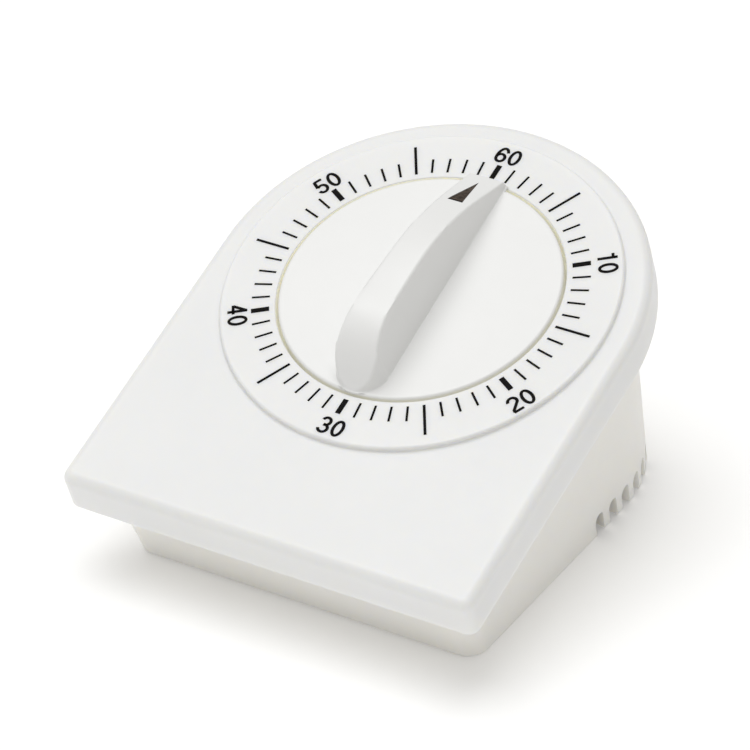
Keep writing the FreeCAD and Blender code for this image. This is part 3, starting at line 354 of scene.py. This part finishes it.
def grip_path(foot, towards, count=34, samples=400):
    """One line over the grip from outside its foot to its middle, in even steps of its length."""
    (x0, y0), (x1, y1) = foot, towards
    length = math.hypot(x1 - x0, y1 - y0)
    floor = DISC_TOP - 0.01
    fine = []
    for n in range(samples + 1):
        inward = -FOOT_FLARE + (length + FOOT_FLARE) * n / samples
        x, y = x0 + (x1 - x0) * inward / length, y0 + (y1 - y0) * inward / length
        z = -soft_min(-grip_height(x, y, inward), -floor, FOOT_ROUND) - FOOT_SINK
        fine.append(Vector((x, y, z)))
    travelled = [0.0]
    for a, b in zip(fine, fine[1:]):
        travelled.append(travelled[-1] + (b - a).length)
    path, at = [], 0
    for n in range(count):
        goal = travelled[-1] * n / (count - 1)
        while at < samples - 1 and travelled[at + 1] < goal:
            at += 1
        step = travelled[at + 1] - travelled[at]
        path.append(fine[at].lerp(fine[at + 1], (goal - travelled[at]) / step))
    return path


def make_grip_paths():
    """Lines over the right side from nose to tail, round the tail, and back along the left side."""
    nose_rows, side_rows, tail_rows = 14, 90, 48
    ys = [NOSE_Y + 0.2 - 0.12 * n for n in range(nose_rows)]
    ys += [ys[-1] - (ys[-1] - TAIL_PIVOT) * n / side_rows for n in range(1, side_rows + 1)]
    right = [grip_path((half_width(y), y), (0.0, y)) for y in ys]
    tail = []
    for n in range(1, tail_rows):
        x, y = polar(half_width(TAIL_Y), -180.0 * n / tail_rows)
        tail.append(grip_path((x, TAIL_PIVOT + y), (0.0, TAIL_PIVOT)))
    left = [[Vector((-p.x, p.y, p.z)) for p in path] for path in right[::-1]]
    return right + tail + left


def lathe(profile, count=192):
    """The surface that a closed profile of (radius, z) points sweeps about the axis."""
    angles = [360.0 * n / count for n in range(count)]
    return skin([[(*polar(radius, angle), z) for angle in angles] for radius, z in profile])


def grip_mesh():
    paths = make_grip_paths()
    count, last = len(paths[0]), len(paths) - 1
    verts = [point for path in paths for point in path]
    faces = []
    for a in (row * count + n for row in range(last) for n in range(count - 1)):
        faces.append((a, a + 1, a + count + 1, a + count))
    nose_end = range((last + 1) * count - 1, last * count - 1, -1)
    faces.append((*range(count), *nose_end))
    faces.append(tuple(range(0, len(verts), count)))
    return verts, faces


def make_knob(material):
    top = DISC - DISC_EDGE
    low = DISC_LOW + DISC_LOW_EDGE
    profile = [(0.0, DISC_TOP), (top - HOLD, DISC_TOP)]
    profile += bend_flat((top, DISC_TOP), (DISC, DISC_TOP - DISC_EDGE), 8)
    profile += [(DISC, DISC_TOP - DISC_EDGE - HOLD)]
    profile += bend((DISC, low), (DISC - DISC_LOW_EDGE, DISC_LOW), 3)
    profile += [(SKIRT_INSIDE, DISC_LOW), (SKIRT_INSIDE, DISC_UNDERSIDE), (HUB, DISC_UNDERSIDE)]
    profile += [(HUB, HUB_LOW), (BORE, HUB_LOW), (BORE, BORE_TOP), (0.0, BORE_TOP)]
    piece("knob_disc", lathe(profile), "dial_knob", material, ["knob"])
    piece("knob_grip", grip_mesh(), "dial_knob", material, smooth_below=60.0)


# ---------------------------------------------------------------- pointer
POINTER_APEX, POINTER_FOOT, POINTER_HALF = 22.75, 15.15, 1.46
PAINT_THICKNESS = 0.00003  # metres


def surface_point(x, y, lift):
    return Vector((x, y, grip_height(x, y, half_width(y) - abs(x)) + lift))


def triangle(scale, lift, shift=(0.0, 0.0), rows=24):
    """A triangular sheet that follows the slope, shrunk about its own middle and shifted."""
    mid = POINTER_FOOT + (POINTER_APEX - POINTER_FOOT) / 3
    verts, faces = [], []
    for row in range(rows + 1):
        share = row / rows
        for n in range(row + 1):
            y = POINTER_APEX + (POINTER_FOOT - POINTER_APEX) * share
            x = 0.0 if row == 0 else POINTER_HALF * share * (2 * n / row - 1)
            x, y = x * scale + shift[0], mid + (y - mid) * scale + shift[1]
            verts.append(surface_point(x, y, lift))
    for row in range(rows):
        a, b = row * (row + 1) // 2, (row + 1) * (row + 2) // 2
        for n in range(row + 1):
            faces.append((a + n, b + n, b + n + 1))
            if n < row:
                faces.append((a + n, b + n + 1, a + n + 1))
    return verts, faces


def make_pointer(edge_material, sheen_material):
    """A dark triangle of black paint, and a browner one on it, painted sheen on the glossy paint, that leaves most
    of its left and lower edge.
    """
    outline = piece("pointer_outline", triangle(1.0, 0.02), "dial_knob",
                    edge_material, ["pointer_mark"])
    # the browner sheet is painted sheen: light reflected by the glossy black paint
    sheen = piece("pointer_sheen", triangle(0.88, 0.035, (0.07, 0.06)), "dial_knob",
                 sheen_material)
    for sheet in (outline, sheen):
        sheet.modifiers.new("thickness", "SOLIDIFY").thickness = PAINT_THICKNESS


# ---------------------------------------------------------------- printing on the dial
INK_TOP, INK_FOOT = 0.022, -0.01
TICK_START, TICK_END, LONG_TICK_END = 26.5, 29.7, 33.05
TICK_WIDTH, FIVE_WIDTH, TEN_WIDTH = 0.41, 0.50, 0.98


def slab(points, verts, faces):
    """Adds one flat polygon of ink with its edge."""
    base, count = len(verts), len(points)
    verts += [(x, y, z) for z in (INK_TOP, INK_FOOT) for x, y in points]
    faces.append(tuple(range(base, base + count)))
    faces.append(tuple(range(base + count, base + 2 * count)))
    for n in range(count):
        m = (n + 1) % count
        faces.append((base + n, base + count + n, base + count + m, base + m))


def make_ticks(material):
    verts, faces = [], []
    for minute in range(60):
        width, end = TICK_WIDTH, TICK_END
        if minute % 10 == 0:
            width = TEN_WIDTH
        elif minute % 5 == 0:
            width, end = FIVE_WIDTH, LONG_TICK_END
        turn = Matrix.Rotation(math.radians(-6.0 * minute), 2)
        side = width / 2
        corners = [(-side, TICK_START), (side, TICK_START), (side, end), (-side, end)]
        slab([tuple(turn @ Vector(c)) for c in corners], verts, faces)
    piece("dial_ticks", (verts, faces), "housing", material)


def arc(cx, cy, rx, ry, start, end):
    """Points along an arc of an ellipse, about every nine degrees."""
    steps = max(4, int(abs(end - start) / 9))
    angles = [math.radians(start + (end - start) * n / steps) for n in range(steps + 1)]
    return [(cx + rx * math.cos(a), cy + ry * math.sin(a)) for a in angles]


# digits on a cell 1 high: the centrelines of their strokes
STROKE, DIGIT_WIDTH = 0.145, 0.56
DIGITS = {
    "0": [arc(0.28, 0.5, 0.205, 0.43, 90, 450)],
    "1": [[(0.34, 0.0), (0.34, 0.99)], [(0.34, 0.77), (0.10, 0.77)]],
    "2": [arc(0.28, 0.70, 0.205, 0.235, 172, -28) + [(0.09, 0.20), (0.07, 0.067)],
          [(0.035, 0.067), (0.51, 0.067)]],
    "3": [arc(0.27, 0.715, 0.185, 0.22, 165, -90) + [(0.21, 0.495)],
          [(0.21, 0.525)] + arc(0.27, 0.29, 0.21, 0.225, 90, -170)],
    "4": [[(0.39, 0.0), (0.39, 0.99)], [(0.39, 0.93), (0.075, 0.30)],
          [(0.03, 0.285), (0.53, 0.285)]],
    "5": [[(0.49, 0.93), (0.13, 0.93)], [(0.145, 0.97), (0.10, 0.50)],
          arc(0.275, 0.32, 0.205, 0.25, 140, -165)],
    "6": [arc(0.28, 0.31, 0.20, 0.24, 0, 360),
          arc(0.31, 0.44, 0.235, 0.49, 30, 180) + [(0.078, 0.32)]],
}


def stroke(line, width, closed):
    """Left and right sides of a stroke along a centreline."""
    left, right = [], []
    for n, (x, y) in enumerate(line):
        steps = []
        if n or closed:
            steps.append((x - line[n - 1][0], y - line[n - 1][1]))
        if n < len(line) - 1 or closed:
            after = line[(n + 1) % len(line)]
            steps.append((after[0] - x, after[1] - y))
        directions = [Vector(step).normalized() for step in steps]
        along = sum(directions, Vector((0, 0))).normalized()
        reach = width / 2 / max(abs(along.dot(directions[0])), 0.5)
        left.append((x - along.y * reach, y + along.x * reach))
        right.append((x + along.y * reach, y - along.x * reach))
    return left, right


def add_digit(digit, place, verts, faces):
    """Draws one digit; place turns a point of its cell into a point of the dial."""
    for line in DIGITS[digit]:
        closed = math.dist(line[0], line[-1]) < 1e-6
        line = line[:-1] if closed else line
        left, right = stroke(line, STROKE, closed)
        base, count = len(verts), len(line)
        # four rows of points: top left, top right, foot left, foot right
        verts += [(*place(p), z) for z in (INK_TOP, INK_FOOT) for p in left + right]
        rows = [range(base + row * count, base + (row + 1) * count) for row in range(4)]
        for n in range(count if closed else count - 1):
            m = (n + 1) % count
            for a, b in ((0, 1), (2, 3), (0, 2), (1, 3)):
                faces.append((rows[a][n], rows[a][m], rows[b][m], rows[b][n]))
        if not closed:
            for n in (0, count - 1):
                faces.append(tuple(rows[row][n] for row in (0, 1, 3, 2)))


# text, its place in degrees clockwise from the top, and how far it is turned
NUMERALS = [("60", 0, 0), ("10", 60, -60), ("20", 120, 60),
            ("30", 180, 0), ("40", 240, -60), ("50", 300, 60)]
NUMERAL_RADIUS, NUMERAL_SHIFT = 32.35, (0.45, -0.25)
DIGIT_HEIGHT, DIGIT_SPREAD, DIGIT_GAP = 3.55, 1.13, 0.08


def make_numerals(material):
    verts, faces = [], []
    for text, at, turned in NUMERALS:
        x0, y0 = polar(NUMERAL_RADIUS, 90 - at)
        x0, y0 = x0 + NUMERAL_SHIFT[0], y0 + NUMERAL_SHIFT[1]
        turn = Matrix.Rotation(math.radians(turned), 2)
        pen = -(len(text) * DIGIT_WIDTH + (len(text) - 1) * DIGIT_GAP) / 2
        for char in text:

            def place(point, pen=pen):
                x, y = (point[0] + pen) * DIGIT_SPREAD, point[1] - 0.5
                q = turn @ Vector((x * DIGIT_HEIGHT, y * DIGIT_HEIGHT))
                return x0 + q.x, y0 + q.y

            add_digit(char, place, verts, faces)
            pen += DIGIT_WIDTH + DIGIT_GAP
    piece("dial_numerals", (verts, faces), "housing", material)


# ---------------------------------------------------------------- materials
GRAIN_DEPTH = 0.00002  # metres


class Look:
    """A principled material and the procedural nodes that feed it."""

    def __init__(self, name):
        self.material = bpy.data.materials.new(name)
        self.material.use_nodes = True
        self.nodes = self.material.node_tree.nodes
        self.links = self.material.node_tree.links
        self.sockets = self.nodes["Principled BSDF"].inputs

    def set(self, **values):
        """Sets sockets by name, with _ for a space."""
        for name, value in values.items():
            self.sockets[name.replace("_", " ")].default_value = value

    def noise(self, scale, detail, stretch=(1, 1, 1)):
        """Noise in object space; scale is per metre."""
        where = self.nodes.new("ShaderNodeTexCoord")
        mapping = self.nodes.new("ShaderNodeMapping")
        mapping.inputs["Scale"].default_value = stretch
        texture = self.nodes.new("ShaderNodeTexNoise")
        texture.inputs["Scale"].default_value = scale
        texture.inputs["Detail"].default_value = detail
        self.links.new(where.outputs["Object"], mapping.inputs["Vector"])
        self.links.new(mapping.outputs["Vector"], texture.inputs["Vector"])
        return texture.outputs["Fac"]

    def colour(self, value, first, second):
        """Clouds the base colour between two tints."""
        ramp = self.nodes.new("ShaderNodeValToRGB")
        for stop, place, tint in zip(ramp.color_ramp.elements, (0.32, 0.68), (first, second)):
            stop.position = place
            stop.color = (*tint, 1)
        self.links.new(value, ramp.inputs["Fac"])
        self.links.new(ramp.outputs["Color"], self.sockets["Base Color"])

    def roughness(self, value, low, high):
        span = self.nodes.new("ShaderNodeMapRange")
        limits = {"From Min": 0.3, "From Max": 0.7, "To Min": low, "To Max": high}
        for name, limit in limits.items():
            span.inputs[name].default_value = limit
        self.links.new(value, span.inputs["Value"])
        self.links.new(span.outputs["Result"], self.sockets["Roughness"])

    def bump(self, value, strength):
        node = self.nodes.new("ShaderNodeBump")
        node.inputs["Strength"].default_value = strength
        node.inputs["Distance"].default_value = GRAIN_DEPTH
        self.links.new(value, node.inputs["Height"])
        self.links.new(node.outputs["Normal"], self.sockets["Normal"])


def moulded(name, first, second, rough, depth, glow=(0.0, 0.0, 0.0), glow_strength=0.0):
    """Moulded plastic: slightly cloudy, with a fine grain; depth is how much light enters it."""
    look = Look(name)
    look.colour(look.noise(38.0, 3.0), first, second)
    look.roughness(look.noise(420.0, 5.0), *rough)
    look.bump(look.noise(2600.0, 3.0), 0.10)
    look.set(IOR=1.49, Subsurface_Weight=depth, Subsurface_Radius=(1.0, 0.92, 0.72),
             Subsurface_Scale=0.0022)
    if glow_strength:
        look.set(Emission_Color=(*glow, 1), Emission_Strength=glow_strength)
    return look.material


def metal(name, first, second, rough, scale, stretch=(1, 1, 1)):
    look = Look(name)
    value = look.noise(scale, 6.0, stretch)
    look.colour(value, first, second)
    look.roughness(value, *rough)
    look.bump(value, 0.12)
    look.set(Metallic=1.0)
    return look.material


def ink(name, first, second, rough):
    look = Look(name)
    look.colour(look.noise(900.0, 6.0), first, second)
    look.roughness(look.noise(1500.0, 4.0), *rough)
    look.set(Specular_IOR_Level=0.06)
    return look.material


LOOKS = {
    "white_face": moulded("face plastic", (0.812, 0.815, 0.812), (0.828, 0.83, 0.826),
                          (0.30, 0.40), 0.6),
    "white_base": moulded("base plastic", (0.875, 0.858, 0.812), (0.892, 0.876, 0.834),
                          (0.32, 0.44), 0.8),
    "white_knob": moulded("knob plastic", (0.822, 0.824, 0.818), (0.839, 0.840, 0.833),
                          (0.28, 0.38), 0.0),
    "dark_ink": ink("dial ink", (0.003, 0.003, 0.003), (0.007, 0.006, 0.006), (0.5, 0.7)),
    "frame_steel": metal("plated sheet steel", (0.55, 0.55, 0.54), (0.66, 0.66, 0.65),
                         (0.25, 0.42), 300.0, (1, 6, 1)),
    "bell_steel": metal("polished bell steel", (0.70, 0.70, 0.71), (0.78, 0.78, 0.79),
                        (0.06, 0.16), 160.0),
    "screw_steel": metal("zinc plated screws", (0.52, 0.53, 0.55), (0.64, 0.64, 0.66),
                         (0.22, 0.40), 700.0),
    "arbor_steel": metal("turned arbor steel", (0.56, 0.56, 0.58), (0.66, 0.66, 0.68),
                         (0.16, 0.30), 500.0, (1, 1, 9)),
    "spring_steel": metal("blued spring steel", (0.20, 0.22, 0.30), (0.34, 0.35, 0.40),
                          (0.22, 0.38), 400.0),
    "wheel_brass": metal("wheel brass", (0.72, 0.52, 0.22), (0.82, 0.63, 0.31),
                         (0.20, 0.36), 350.0, (5, 1, 1)),
}
POINTER_EDGE = ink("pointer outline", (0.006, 0.005, 0.004), (0.012, 0.009, 0.007), (0.3, 0.5))
# painted sheen: the browner tint stands for light reflected by the pointer's glossy black paint
POINTER_SHEEN = ink("pointer paint sheen", (0.036, 0.026, 0.020), (0.105, 0.080, 0.063), (0.22, 0.40))
# painted light: the ivory tint and the faint glow of the well's wall stand for the light that comes through the
# thin plastic round the well
WELL_GLOW = moulded("well painted glow", (0.83, 0.81, 0.68), (0.86, 0.84, 0.72), (0.4, 0.5), 1.0,
                     (0.80, 0.785, 0.66), 0.25)

slots = {row["node"]: row["material_slot"] for row in frame["record"]["subparts"]}
for name, node in frame["nodes"].items():
    node.data.materials.clear()
    node.data.materials.append(LOOKS[slots[name]])

make_face_plate(LOOKS["white_face"], WELL_GLOW)
make_base(LOOKS["white_base"])
make_knob(LOOKS["white_knob"])
make_pointer(POINTER_EDGE, POINTER_SHEEN)
make_ticks(LOOKS["dark_ink"])
make_numerals(LOOKS["dark_ink"])


# ---------------------------------------------------------------- stage, light and camera
FLOOR_HALF, FLOOR_DROP, FLOOR_GLOW = 3.0, 0.0001, 0.14


def make_stage():
    mesh = bpy.data.meshes.new("floor")
    corners = [(x * FLOOR_HALF, y * FLOOR_HALF, 0) for x, y in ((-1, -1), (1, -1), (1, 1), (-1, 1))]
    mesh.from_pydata(corners, [], [(0, 1, 2, 3)])
    floor = bpy.data.objects.new("floor", mesh)
    floor.location.z = -FLOOR_DROP
    bpy.context.scene.collection.objects.link(floor)
    look = Look("floor paper")
    look.colour(look.noise(3.0, 2.0), (0.94, 0.94, 0.94), (0.95, 0.95, 0.95))
    look.set(Roughness=0.85, Specular_IOR_Level=0.1, Emission_Color=(1, 1, 1, 1),
             Emission_Strength=FLOOR_GLOW)
    floor.data.materials.append(look.material)


def area_light(name, place, size, power, colour):
    """A soft square light aimed at the dial; place is (azimuth, elevation, distance) about it."""
    azimuth, elevation, distance = math.radians(place[0]), math.radians(place[1]), place[2]
    data = bpy.data.lights.new(name, "AREA")
    data.size = size
    data.energy = power
    data.color = colour
    lamp = bpy.data.objects.new(name, data)
    flat = math.cos(elevation)
    away = Vector((flat * math.sin(azimuth), -flat * math.cos(azimuth), math.sin(elevation)))
    lamp.location = DIAL_CENTRE + away * distance
    lamp.rotation_euler = away.to_track_quat("Z", "Y").to_euler()
    bpy.context.scene.collection.objects.link(lamp)


def make_lights():
    world = bpy.data.worlds.new("studio")
    world.use_nodes = True
    sky = world.node_tree.nodes["Background"].inputs
    sky["Color"].default_value = (1.0, 0.985, 0.955, 1)
    sky["Strength"].default_value = 0.45
    bpy.context.scene.world = world
    area_light("overhead", (-60.0, 80.0, 1.5), 1.4, 15.9, (0.985, 0.993, 1.0))
    area_light("right", (65.0, 50.0, 1.5), 1.2, 0.7, (1.0, 0.96, 0.88))
    view = bpy.context.scene.view_settings
    view.view_transform = "Standard"
    view.look = "None"


# the camera stands this far from the dial's centre, in metres, and looks this way, in degrees
CAMERA_PLACE = Vector((0.341998, -0.596279, 0.377958))
CAMERA_AZIMUTH, CAMERA_DOWN, CAMERA_ROLL = 30.4713, 29.912, 0.5231
LENS_MM = 219.2


def make_camera():
    data = bpy.data.cameras.new("camera")
    data.sensor_width = 36.0
    data.lens = LENS_MM
    data.clip_start, data.clip_end = 0.05, 20.0
    camera = bpy.data.objects.new("camera", data)
    turn = Matrix.Rotation(math.radians(CAMERA_AZIMUTH), 4, "Z")
    turn @= Matrix.Rotation(math.radians(90.0 - CAMERA_DOWN), 4, "X")
    turn @= Matrix.Rotation(math.radians(CAMERA_ROLL), 4, "Z")
    camera.matrix_world = Matrix.Translation(DIAL_CENTRE + CAMERA_PLACE) @ turn
    bpy.context.scene.collection.objects.link(camera)
    bpy.context.scene.camera = camera


make_stage()
make_lights()
make_camera()
